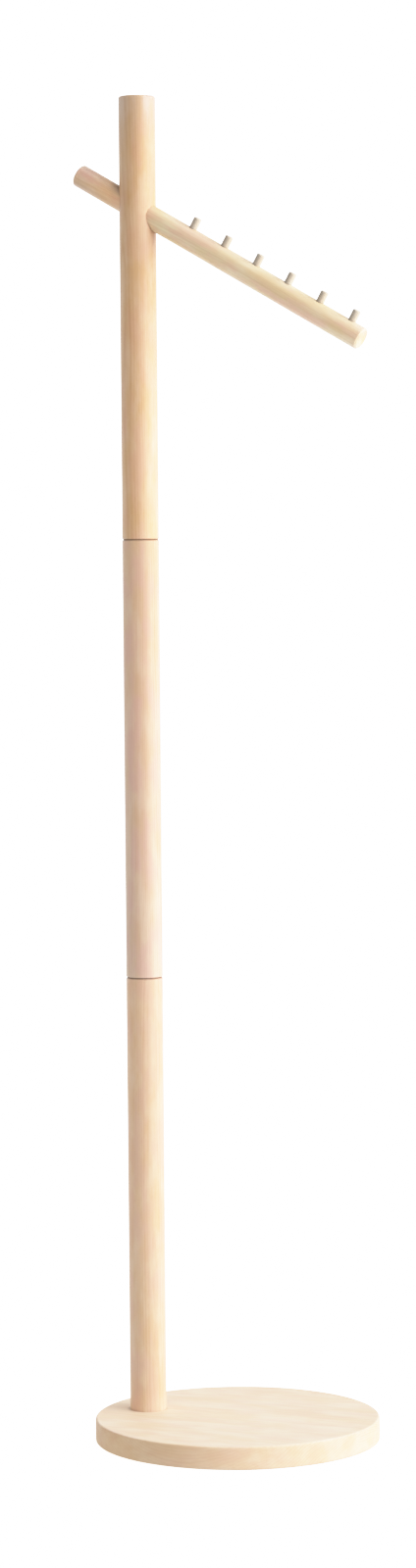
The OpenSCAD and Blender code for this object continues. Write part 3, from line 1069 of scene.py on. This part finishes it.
def wood(
    name,
    place,
    pale,
    warm,
    pink,
    seed,
    pith=(70.0, 35.0),
    lean=(0.0, 0.0),
    ring=2.3,
    ring_depth=0.10,
    streak=0.09,
    fleck=0.10,
    tint=0.5,
    staves=None,
    marked=True,
    roughness=0.48,
    axis=(0.0, 0.0, 1.0),
    drift=(),
    painted_top_sheen=None,
    across=None,
    relief=1.0,
    coat=(0.45, 0.27),
    end_dark=0.035,
):
    """Clear-lacquered pale hardwood as a solid: growth rings about a pith outside the piece, fibres along it, rays and
    pores.
    place takes the row frame, in metres, to the grain's frame, in millimetres with z along the grain.
    drift lists heights along the grain and the tint multiplied in there, and the tint for faces that look up is a
    painted sheen and top light.
    across is a direction and an offset in the row frame, the piece's radius, and tints from one side to the other, from
    -1 to 1: painted light and shade, each side made paler or darker as light falls on it."""
    g = Graph(name)
    at = g.coordinates("Object")
    rows = [list(place[k]) for k in range(3)]
    parts = [
        g.math("ADD", g.vector("DOT_PRODUCT", at, tuple(v * 1000.0 for v in row[:3])), row[3] + seed * (17.3 + 5.1 * k))
        if k == 2
        else g.math("ADD", g.vector("DOT_PRODUCT", at, tuple(v * 1000.0 for v in row[:3])), row[3])
        for k, row in enumerate(rows)
    ]
    x, y, z = parts
    run = g.math("SUBTRACT", z, seed * (17.3 + 5.1 * 2))
    shift = None
    if staves:
        width, start = staves
        board = g.math("FLOOR", g.math("DIVIDE", g.math("ADD", x, start), width))
        inside = g.math("FRACT", g.math("DIVIDE", g.math("ADD", x, start), width))
        pick = g.tree.nodes.new("ShaderNodeTexWhiteNoise")
        pick.noise_dimensions = "1D"
        g.put(pick.inputs["W"], g.math("ADD", board, seed * 3.7))
        shift = g.split(pick.outputs["Color"])
        x = g.math("SUBTRACT", x, g.math("MULTIPLY", g.math("SUBTRACT", shift[0], 0.5), 60.0))
        y = g.math("ADD", y, g.math("MULTIPLY", shift[1], 90.0))
        z = g.math("ADD", z, g.math("MULTIPLY", shift[2], 900.0))
        seam = g.math("MULTIPLY", g.math("MINIMUM", inside, g.math("SUBTRACT", 1.0, inside)), width)
    grain = g.join(x, y, z)

    # slow bends of the rings along and across the piece
    slow = g.noise(g.vector("MULTIPLY", grain, (1 / 55, 1 / 55, 1 / 420)), 1.0, 2.0, 0.5)
    quick = g.noise(g.vector("MULTIPLY", grain, (1 / 9, 1 / 9, 1 / 110)), 1.0, 2.0, 0.5)
    dx = g.math("ADD", g.math("SUBTRACT", x, pith[0]), g.math("MULTIPLY", z, lean[0]))
    dy = g.math("ADD", g.math("SUBTRACT", y, pith[1]), g.math("MULTIPLY", z, lean[1]))
    radius = g.math("SQRT", g.math("ADD", g.math("MULTIPLY", dx, dx), g.math("MULTIPLY", dy, dy)))
    radius = g.math("ADD", radius, g.math("MULTIPLY", g.math("SUBTRACT", slow, 0.5), 13.0))
    radius = g.math("ADD", radius, g.math("MULTIPLY", g.math("SUBTRACT", quick, 0.5), 1.6))
    year = g.math("DIVIDE", radius, ring)
    phase = g.math("FRACT", year)
    year_pick = g.tree.nodes.new("ShaderNodeTexWhiteNoise")
    year_pick.noise_dimensions = "1D"
    g.put(year_pick.inputs["W"], g.math("FLOOR", year))
    late = g.math(
        "MULTIPLY",
        g.math("MULTIPLY", g.range(phase, 0.35, 0.93), g.range(phase, 0.93, 1.0, 1.0, 0.0)),
        g.math("ADD", g.math("MULTIPLY", year_pick.outputs["Value"], 0.7), 0.45),
    )

    # fibres: broad streaks, fine fibres and hair-fine pores, all drawn out along the grain
    broad = g.noise(g.vector("MULTIPLY", grain, (0.34, 0.34, 0.0042)), 1.0, 3.0, 0.55)
    fine = g.noise(g.vector("MULTIPLY", grain, (2.2, 2.2, 0.032)), 1.0, 2.0, 0.55)
    hair = g.noise(g.vector("MULTIPLY", grain, (6.5, 6.5, 0.16)), 1.0, 1.0, 0.5)
    rays = g.tree.nodes.new("ShaderNodeTexVoronoi")
    rays.feature = "F1"
    g.put(rays.inputs["Vector"], g.vector("MULTIPLY", grain, (1.25, 1.25, 0.21)))
    rays.inputs["Scale"].default_value = 1.0
    rays.inputs["Randomness"].default_value = 1.0
    ray = g.range(rays.outputs["Distance"], 0.10, 0.24, 1.0, 0.0)
    pore = g.range(hair, 0.64, 0.76)

    # slow changes of tint
    whole = g.join(*parts)
    cloud = g.noise(g.vector("MULTIPLY", whole, (1 / 20, 1 / 20, 1 / 64)), 1.0, 3.0, 0.6)
    blush = g.noise(g.vector("MULTIPLY", g.vector("ADD", whole, (31.0, 77.0, 410.0)), (1 / 16, 1 / 16, 1 / 44)), 1.0, 2.0, 0.55)

    base = g.mix(g.range(cloud, 0.34, 0.66), pale, warm)
    base = g.mix(g.math("MULTIPLY", g.range(blush, 0.40, 0.68), tint), base, pink)
    if shift is not None:
        tone = g.math("ADD", g.math("MULTIPLY", g.math("SUBTRACT", shift[1], 0.5), 0.025), 1.0)
        base = g.vector("SCALE", base, scale=tone)
    tint_here = drift[0][1] if drift else None
    for (z0, _), (z1, after) in zip(drift, drift[1:]):
        tint_here = g.blend(g.range(run, z0, z1, smooth=False), tint_here, after)
    # painted sheen and top light: faces that look up are made paler
    if painted_top_sheen is not None:
        upward = g.split(g.tree.nodes.new("ShaderNodeNewGeometry").outputs["Normal"])[2]
        tint_here = g.blend(g.range(upward, 0.5, 0.97), tint_here or (1.0, 1.0, 1.0), painted_top_sheen)
    if tint_here is not None:
        base = g.vector("MULTIPLY", base, tint_here)
    # painted light and shade across the piece, by its side towards or away from the light
    if across:
        direction, offset, reach, painted_side_tints = across
        side = g.vector("DOT_PRODUCT", at, tuple(v * 1000.0 / reach for v in direction))
        side = g.math("SUBTRACT", side, offset / reach)
        tint_here = painted_side_tints[0][1]
        for (s0, _), (s1, after) in zip(painted_side_tints, painted_side_tints[1:]):
            tint_here = g.blend(g.range(side, s0, s1, smooth=False), tint_here, after)
        base = g.vector("MULTIPLY", base, tint_here)
    dark = g.math("MULTIPLY", late, ring_depth)
    dark = g.math("ADD", dark, g.math("MULTIPLY", g.math("SUBTRACT", g.range(broad, 0.28, 0.72, smooth=False), 0.5), streak))
    dark = g.math("ADD", dark, g.math("MULTIPLY", g.math("SUBTRACT", g.range(fine, 0.25, 0.75, smooth=False), 0.5), streak * 0.55))
    dark = g.math("ADD", dark, g.math("MULTIPLY", ray, fleck))
    dark = g.math("ADD", dark, g.math("MULTIPLY", pore, fleck * 0.8))
    if staves:
        dark = g.math("ADD", dark, g.range(seam, 0.0, 0.35, 0.035, 0.0))

    # sawn ends drink more lacquer and look deeper
    facing = g.math("ABSOLUTE", g.vector("DOT_PRODUCT", g.tree.nodes.new("ShaderNodeNewGeometry").outputs["Normal"], axis))
    end = g.range(facing, 0.55, 0.97)
    dark = g.math("ADD", dark, g.math("MULTIPLY", end, g.math("ADD", g.math("MULTIPLY", late, 0.10), end_dark)))

    if marked:
        rubbed, painted_shade = g.attribute("rubbed"), g.attribute("painted_shade")
        dark = g.math("SUBTRACT", dark, g.math("MULTIPLY", rubbed, 0.035))
    # darker wood is also warmer: blue falls faster than red
    keep_r = g.math("SUBTRACT", 1.0, g.math("MULTIPLY", dark, 0.80))
    keep_g = g.math("SUBTRACT", 1.0, g.math("MULTIPLY", dark, 1.12))
    keep_b = g.math("SUBTRACT", 1.0, g.math("MULTIPLY", dark, 1.45))
    colour = g.vector("MULTIPLY", base, g.join(keep_r, keep_g, keep_b))
    if marked:
        # painted shade: darker where pieces meet, in grooves, holes and corners, and on sides turned from the light
        colour = g.vector("SCALE", colour, scale=g.math("SUBTRACT", 1.0, g.math("MULTIPLY", painted_shade, 0.5)))
    g.put(g.shader.inputs["Base Color"], colour)

    gloss = g.math("ADD", roughness, g.math("MULTIPLY", g.math("SUBTRACT", fine, 0.5), 0.16))
    gloss = g.math("ADD", gloss, g.math("MULTIPLY", pore, 0.12))
    gloss = g.math("ADD", gloss, g.math("MULTIPLY", end, 0.10))
    if marked:
        gloss = g.math("SUBTRACT", gloss, g.math("MULTIPLY", rubbed, 0.10))
    g.put(g.shader.inputs["Roughness"], gloss)
    g.shader.inputs["IOR"].default_value = 1.5
    g.shader.inputs["Specular IOR Level"].default_value = 0.5
    g.shader.inputs["Coat Weight"].default_value = coat[0]
    g.shader.inputs["Coat Roughness"].default_value = coat[1]
    g.shader.inputs["Coat IOR"].default_value = 1.5
    height = g.math("SUBTRACT", g.math("MULTIPLY", fine, 0.5), g.math("MULTIPLY", pore, 0.6))
    height = g.math("SUBTRACT", height, g.math("MULTIPLY", late, 0.35))
    height = g.math("SUBTRACT", height, g.math("MULTIPLY", ray, 0.25))
    if staves:
        height = g.math("SUBTRACT", height, g.range(seam, 0.0, 0.3, 0.5, 0.0))
    g.put(g.shader.inputs["Normal"], g.bump(height, 0.00003 * relief, 0.8))
    return g.material


def felt_material():
    """Pressed charcoal wool felt: tangled fibres of mixed greys, matt and a little fuzzy."""
    g = Graph("felt_charcoal")
    at = g.vector("SCALE", g.coordinates("Object"), scale=1000.0)
    tangle = g.noise(at, 1.9, 5.0, 0.65, 1.6)
    strand = g.noise(g.vector("MULTIPLY", at, (4.2, 1.1, 3.0)), 1.0, 4.0, 0.6, 2.2)
    patch = g.noise(at, 0.045, 3.0, 0.5)
    colour = g.mix(g.range(tangle, 0.35, 0.7), srgb(58, 56, 54), srgb(104, 101, 97))
    colour = g.mix(g.range(strand, 0.60, 0.78), colour, srgb(146, 142, 136))
    colour = g.mix(g.math("MULTIPLY", g.range(patch, 0.4, 0.65), 0.35), colour, srgb(72, 68, 63))
    g.put(g.shader.inputs["Base Color"], colour)
    g.put(g.shader.inputs["Roughness"], g.range(tangle, 0.3, 0.7, 0.86, 1.0))
    g.shader.inputs["Specular IOR Level"].default_value = 0.15
    g.shader.inputs["Sheen Weight"].default_value = 0.35
    g.shader.inputs["Sheen Roughness"].default_value = 0.5
    g.put(g.shader.inputs["Normal"], g.bump(g.math("ADD", tangle, g.math("MULTIPLY", strand, 0.6)), 0.00035, 0.9))
    return g.material


def zinc_steel():
    """Bright zinc-plated steel: fine turning marks, cloudy plating, dulled in places."""
    g = Graph("zinc_plated_steel")
    at = g.vector("SCALE", g.coordinates("Object"), scale=1000.0)
    cloud = g.noise(at, 0.35, 4.0, 0.6)
    grain = g.noise(g.vector("MULTIPLY", at, (1.5, 1.5, 22.0)), 1.0, 3.0, 0.6)
    speck = g.noise(at, 5.0, 3.0, 0.7)
    colour = g.mix(g.range(cloud, 0.35, 0.68), (0.60, 0.61, 0.63), (0.50, 0.505, 0.52))
    colour = g.mix(g.math("MULTIPLY", g.range(cloud, 0.56, 0.7), 0.35), colour, (0.58, 0.56, 0.49))
    colour = g.mix(g.math("MULTIPLY", g.range(speck, 0.64, 0.76), 0.5), colour, (0.36, 0.36, 0.37))
    g.put(g.shader.inputs["Base Color"], colour)
    g.shader.inputs["Metallic"].default_value = 1.0
    rough = g.math("ADD", g.range(cloud, 0.3, 0.7, 0.24, 0.40), g.math("MULTIPLY", g.range(speck, 0.6, 0.75), 0.18))
    g.put(g.shader.inputs["Roughness"], rough)
    g.put(g.shader.inputs["Normal"], g.bump(g.math("ADD", grain, g.math("MULTIPLY", speck, 0.3)), 0.00003, 0.7))
    return g.material


def turned_brass():
    """Machined brass: close turning rings, a slightly browned film."""
    g = Graph("turned_brass")
    at = g.vector("SCALE", g.coordinates("Object"), scale=1000.0)
    film = g.noise(at, 0.3, 4.0, 0.6)
    lathe = g.noise(g.vector("MULTIPLY", at, (0.6, 0.6, 14.0)), 1.0, 3.0, 0.65)
    spot = g.noise(at, 3.6, 3.0, 0.7)
    colour = g.mix(g.range(film, 0.35, 0.68), (0.78, 0.60, 0.30), (0.66, 0.47, 0.22))
    colour = g.mix(g.math("MULTIPLY", g.range(spot, 0.62, 0.76), 0.55), colour, (0.38, 0.26, 0.13))
    g.put(g.shader.inputs["Base Color"], colour)
    g.shader.inputs["Metallic"].default_value = 1.0
    g.put(g.shader.inputs["Roughness"], g.math("ADD", g.range(film, 0.3, 0.7, 0.22, 0.38), g.math("MULTIPLY", lathe, 0.08)))
    g.put(g.shader.inputs["Normal"], g.bump(lathe, 0.00004, 0.7))
    return g.material


# ---------------------------------------------------------------------------
# put the pieces in the scene
# ---------------------------------------------------------------------------
def show(piece, material, slot, *stands_for):
    piece.data.materials.clear()
    piece.data.materials.append(material)
    if stands_for:
        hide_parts(*stands_for)
    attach(piece, "root")


def grain_of(place):
    """The matrix from the row frame in metres, already scaled to millimetres by the shader, to the piece's frame."""
    return place.inverted()


PALE = srgb(233, 204, 170)
WARM = srgb(226, 190, 148)
PINK = srgb(228, 190, 162)
# the across tints on the pole sections are painted light and shade: paler at the left edge, as a painted sheen, on the
# lower two a little darker right of the middle, and on the top one paler on the lit right side
POLE_ACROSS = (math.cos(math.radians(22.8)), math.sin(math.radians(22.8)), 0.0)
POLE_OFFSET = POLE_X * POLE_ACROSS[0]

show(
    upper_section(),
    wood("birch_upper", grain_of(AT_POLE), PALE, srgb(225, 190, 144), srgb(229, 188, 158), 1.0, pith=(48.0, 62.0),
         lean=(0.004, 0.010), tint=0.6,
         drift=((1180.0, (0.92, 0.815, 0.75)), (1450.0, (0.845, 0.74, 0.66)), (1580.0, (0.79, 0.69, 0.60)),
                (1645.0, (0.76, 0.73, 0.79))),
         across=(POLE_ACROSS, POLE_OFFSET, POLE_R,
                 ((-0.85, (1.10, 1.17, 1.28)), (-0.45, (1.01, 1.00, 0.96)), (0.0, (0.97, 1.01, 1.07)),
                  (0.45, (1.09, 1.11, 1.27))))),
    "pole_wood",
    "upper_pole",
)
show(
    middle_section(),
    wood("birch_middle", grain_of(AT_POLE), srgb(235, 207, 178), srgb(228, 194, 160), srgb(231, 193, 172), 2.0,
         pith=(-66.0, -40.0), lean=(0.008, -0.004), tint=0.9,
         drift=((600.0, (0.915, 0.915, 0.945)), (760.0, (0.91, 0.885, 0.90)), (900.0, (0.91, 0.87, 0.87)),
                (1090.0, (0.90, 0.86, 0.81))),
         across=(POLE_ACROSS, POLE_OFFSET, POLE_R,
                 ((-0.85, (1.08, 1.10, 1.14)), (-0.35, (1.01, 0.99, 0.97)), (0.1, (0.91, 0.91, 0.93)),
                  (0.8, (1.01, 0.96, 0.99))))),
    "pole_wood",
    "middle_pole",
)
show(
    lower_section(),
    wood("birch_lower", grain_of(AT_POLE), PALE, WARM, PINK, 3.0, pith=(58.0, -48.0), lean=(-0.006, 0.005),
         tint=0.7,
         drift=((60.0, (0.95, 0.98, 1.05)), (300.0, (0.98, 0.97, 1.00)), (550.0, (0.96, 0.93, 0.96))),
         across=(POLE_ACROSS, POLE_OFFSET, POLE_R,
                 ((-0.85, (1.15, 1.13, 1.14)), (-0.3, (1.02, 1.02, 1.01)), (0.2, (0.93, 0.93, 0.96)),
                  (0.8, (1.03, 0.90, 0.94))))),
    "pole_wood",
    "lower_pole",
)
bar_axis = (math.cos(BAR_TILT), 0.0, -math.sin(BAR_TILT))
peg_axis = (math.sin(BAR_TILT), 0.0, math.cos(BAR_TILT))
show(
    slanting_bar(),
    wood("birch_bar", grain_of(BAR_TURNED), srgb(238, 213, 178), srgb(229, 197, 152), srgb(233, 190, 162), 4.0, tint=0.8,
         pith=(26.0, -38.0), lean=(0.012, 0.006), ring=2.0, axis=bar_axis, ring_depth=0.085, streak=0.12, end_dark=0.12,
         drift=((-80.0, (0.88, 0.82, 0.90)), (-37.0, (0.98, 0.80, 0.67)), (40.0, (0.93, 0.975, 0.96)),
                (330.0, (1.04, 1.07, 1.13))),
         # painted light: the bar paler on its underside, as if lit from the floor, and towards its top
         across=(peg_axis, peg_axis[0] * POLE_X + peg_axis[2] * BAR_Z, BAR_R,
                 ((-0.95, (1.07, 1.15, 1.28)), (-0.3, (1.06, 1.09, 1.10)), (0.2, (0.99, 0.99, 0.98)),
                  (0.9, (1.00, 1.05, 1.13))))),
    "bar_wood",
    "hanging_bar",
)
for k in range(1, 7):
    along_bar = bar_axis[0] * POLE_X + bar_axis[2] * BAR_Z + PEG_FIRST + (k - 1) * PEG_PITCH
    show(
        peg(k),
        wood(f"birch_peg_{k}", grain_of(ON_BAR @ Matrix.Translation((PEG_FIRST + (k - 1) * PEG_PITCH, 0, 0))
                                        @ Matrix.Rotation(math.radians(71.0 * k), 4, "Z")),
             srgb(216, 205, 188), srgb(206, 190, 169), srgb(210, 194, 178), 5.0 + k, pith=(18.0, 9.0), ring=1.5,
             axis=peg_axis,
             # painted shade: each peg much darker on its side towards the pole, turned from the light
             across=(bar_axis, along_bar, PEG_R, ((-0.9, (0.42, 0.43, 0.44)), (0.0, (0.86, 0.87, 0.87)),
                                                  (0.9, (1.05, 1.05, 1.05))))),
        "peg_wood",
        f"hanger_peg_{k}",
    )
along_x = Matrix(((0, 1, 0, 0), (0, 0, 1, 0), (1, 0, 0, 0), (0, 0, 0, 1)))  # grain along the row frame's x
show(
    base_board(),
    wood("birch_base", along_x, srgb(236, 211, 178), srgb(230, 200, 162), PINK, 12.0,
         pith=(0.0, -85.0), ring=2.8, staves=(58.0, 29.0 + 175.0), ring_depth=0.045, streak=0.045, fleck=0.05, tint=0.35, roughness=0.62, coat=(0.15, 0.5),
         # painted light: the board's faces that look up are paler, a painted sheen; the drift along x is warmer and
         # darker round x = -114, painted shade on the side away from the light
         axis=(1.0, 0.0, 0.0), painted_top_sheen=(1.10, 1.16, 1.33),
         drift=((-146.0, (1.03, 0.99, 0.99)), (-114.0, (1.0, 0.92, 0.83)), (60.0, (1.0, 0.97, 1.02)),
                (160.0, (1.03, 0.98, 1.06)))),
    "base_wood",
    "base_disc",
)
show(felt_pad(), felt_material(), "felt", "base_felt")

steel, brass = zinc_steel(), turned_brass()
dowel_wood = wood("birch_dowel", grain_of(AT_POLE), srgb(224, 192, 152), srgb(214, 178, 136), PINK, 20.0,
                  pith=(30.0, 12.0), ring=1.6, marked=False)
for n, o in frame["nodes"].items():
    slot = {m["node"]: m["material_slot"] for m in frame["record"]["subparts"]}[n] if "subparts" in frame["record"] else None
    if o.hide_render:
        continue
    material = {"fastener_steel": steel, "insert_brass": brass, "peg_wood": dowel_wood}[slot or "fastener_steel"]
    for k in range(len(o.material_slots)):
        o.material_slots[k].link = "OBJECT"
        o.material_slots[k].material = material

# ---------------------------------------------------------------------------
# floor, light and camera
# ---------------------------------------------------------------------------
scene = bpy.context.scene
scene.view_settings.view_transform = "Standard"
scene.view_settings.look = "None"
scene.view_settings.exposure = 0.0
scene.view_settings.gamma = 1.0


def soft_shoulder():
    """Rolls bright values off gently, as a print does, so that pale wood in full light keeps its colour."""
    scene.view_settings.use_curve_mapping = True
    mapping = scene.view_settings.curve_mapping
    mapping.use_clip = True
    mapping.clip_min_x, mapping.clip_min_y, mapping.clip_max_x, mapping.clip_max_y = 0.0, 0.0, 4.0, 1.0
    curve = mapping.curves[3]
    curve.points[0].location = (0.0, 0.0)
    curve.points[1].location = (4.0, 1.0)
    for x, y in (
        (0.25, 0.25),
        (0.50, 0.50),
        (0.70, 0.685),
        (0.90, 0.825),
        (1.10, 0.905),
        (1.35, 0.955),
        (1.70, 0.985),
        (2.20, 1.0),
    ):
        curve.points.new(x, y)
    for point in curve.points:
        point.handle_type = "AUTO_CLAMPED"
    mapping.update()


soft_shoulder()


def studio_floor():
    me = bpy.data.meshes.new("studio_floor")
    r, n = 60.0, 96
    ring = [(r * math.cos(2 * math.pi * k / n), r * math.sin(2 * math.pi * k / n), 0.0) for k in range(n)]
    me.from_pydata(ring, [], [list(range(n))])
    floor = bpy.data.objects.new("studio_floor", me)
    scene.collection.objects.link(floor)
    g = Graph("white_sweep")
    g.shader.inputs["Base Color"].default_value = (0.93, 0.93, 0.93, 1.0)
    g.shader.inputs["Roughness"].default_value = 1.0
    g.shader.inputs["Specular IOR Level"].default_value = 0.0
    g.shader.inputs["Emission Color"].default_value = (1.0, 1.0, 1.0, 1.0)
    g.shader.inputs["Emission Strength"].default_value = 1.4
    me.materials.append(g.material)
    floor.visible_diffuse = False
    floor.visible_glossy = False
    return floor


studio_floor()


def studio_world():
    """A white room: seen white, and lighting the rack more from above and from the right than from the left."""
    world = bpy.data.worlds.new("white_studio")
    scene.world = world
    world.use_nodes = True
    t = world.node_tree
    t.nodes.clear()
    out = t.nodes.new("ShaderNodeOutputWorld")
    mix = t.nodes.new("ShaderNodeMixShader")
    seen = t.nodes.new("ShaderNodeBackground")
    lights = t.nodes.new("ShaderNodeBackground")
    path = t.nodes.new("ShaderNodeLightPath")
    seen.inputs["Color"].default_value = (1.0, 1.0, 1.0, 1.0)
    seen.inputs["Strength"].default_value = 2.4
    coords = t.nodes.new("ShaderNodeTexCoord")

    def m(op, a, b=0.0, clamp=False):
        n = t.nodes.new("ShaderNodeMath")
        n.operation, n.use_clamp = op, clamp
        for s, v in zip(n.inputs, (a, b)):
            if isinstance(v, bpy.types.NodeSocket):
                t.links.new(v, s)
            else:
                s.default_value = v
        return n.outputs[0]

    def along(direction):
        n = t.nodes.new("ShaderNodeVectorMath")
        n.operation = "DOT_PRODUCT"
        t.links.new(coords.outputs["Generated"], n.inputs[0])
        n.inputs[1].default_value = direction
        return n.outputs["Value"]

    up = along((0.0, 0.0, 1.0))
    right = along((0.927, 0.376, 0.0))
    back = along((-0.387, 0.922, 0.0))
    level = m("ADD", 0.54, m("MULTIPLY", m("MAXIMUM", up, 0.0), 0.12))
    level = m("ADD", level, m("MULTIPLY", m("MAXIMUM", right, 0.0), 0.20))
    level = m("ADD", level, m("MULTIPLY", m("MAXIMUM", m("MULTIPLY", up, -1.0), 0.0), 0.72))
    sweep = m("POWER", m("MAXIMUM", back, 0.0), 3.0)
    level = m("ADD", level, m("MULTIPLY", sweep, 0.75))
    flank = along((0.766, 0.643, 0.0))
    level = m("ADD", level, m("MULTIPLY", m("POWER", m("MAXIMUM", flank, 0.0), 4.0), 0.45))
    t.links.new(level, lights.inputs["Strength"])
    lights.inputs["Color"].default_value = (0.99, 0.995, 1.0, 1.0)
    t.links.new(path.outputs["Is Camera Ray"], mix.inputs[0])
    t.links.new(lights.outputs[0], mix.inputs[1])
    t.links.new(seen.outputs[0], mix.inputs[2])
    t.links.new(mix.outputs[0], out.inputs["Surface"])


studio_world()


def soft_box(name, azimuth, elevation, distance, wide, high, power, target=(-0.05, 0.0, 0.85)):
    """A soft light aimed at the rack. Azimuth 0 is the front (-y), and 90 is +x."""
    a, e = math.radians(azimuth), math.radians(elevation)
    way = Vector((math.sin(a) * math.cos(e), -math.cos(a) * math.cos(e), math.sin(e)))
    data = bpy.data.lights.new(name, "AREA")
    data.shape, data.size, data.size_y = "RECTANGLE", wide, high
    data.energy = power
    data.color = (1.0, 0.995, 0.985)
    light = bpy.data.objects.new(name, data)
    scene.collection.objects.link(light)
    light.location = Vector(target) + way * distance
    light.rotation_mode = "QUATERNION"
    light.rotation_quaternion = (-way).to_track_quat("-Z", "Y")
    return light


key = soft_box("key_right", 93.0, 9.0, 7.0, 6.0, 3.6, 740.0)
key.data.color = (1.0, 0.95, 0.93)
key.visible_glossy = False
soft_box("top_soft", 60.0, 72.0, 6.0, 3.0, 3.0, 60.0)


def photograph_camera():
    """Just below the bar's height, 23 degrees round to the right, through a long lens."""
    phi, pitch, roll = math.radians(22.771), math.radians(3.818), math.radians(0.458)
    across = Vector((math.cos(phi), math.sin(phi), 0.0))
    ahead = Vector((-math.sin(phi), math.cos(phi), 0.0))
    up = Vector((0.0, 0.0, 1.0))
    place = 80.217 * across - 5222.08 * ahead + 1156.946 * up + Vector((POLE_X, 0.0, 0.0))
    look = math.cos(pitch) * ahead - math.sin(pitch) * up
    high = math.cos(pitch) * up + math.sin(pitch) * ahead
    right = math.cos(roll) * across - math.sin(roll) * high
    top = math.cos(roll) * high + math.sin(roll) * across
    data = bpy.data.cameras.new("photograph_camera")
    data.sensor_fit, data.sensor_width = "AUTO", 36.0
    data.lens = 36.0 * 4331.557 / 1600.0
    data.clip_start, data.clip_end = 0.1, 200.0
    cam = bpy.data.objects.new("photograph_camera", data)
    scene.collection.objects.link(cam)
    cam.matrix_world = Matrix.Translation(place * 0.001) @ Matrix((right, top, -look)).transposed().to_4x4()
    scene.camera = cam


photograph_camera()
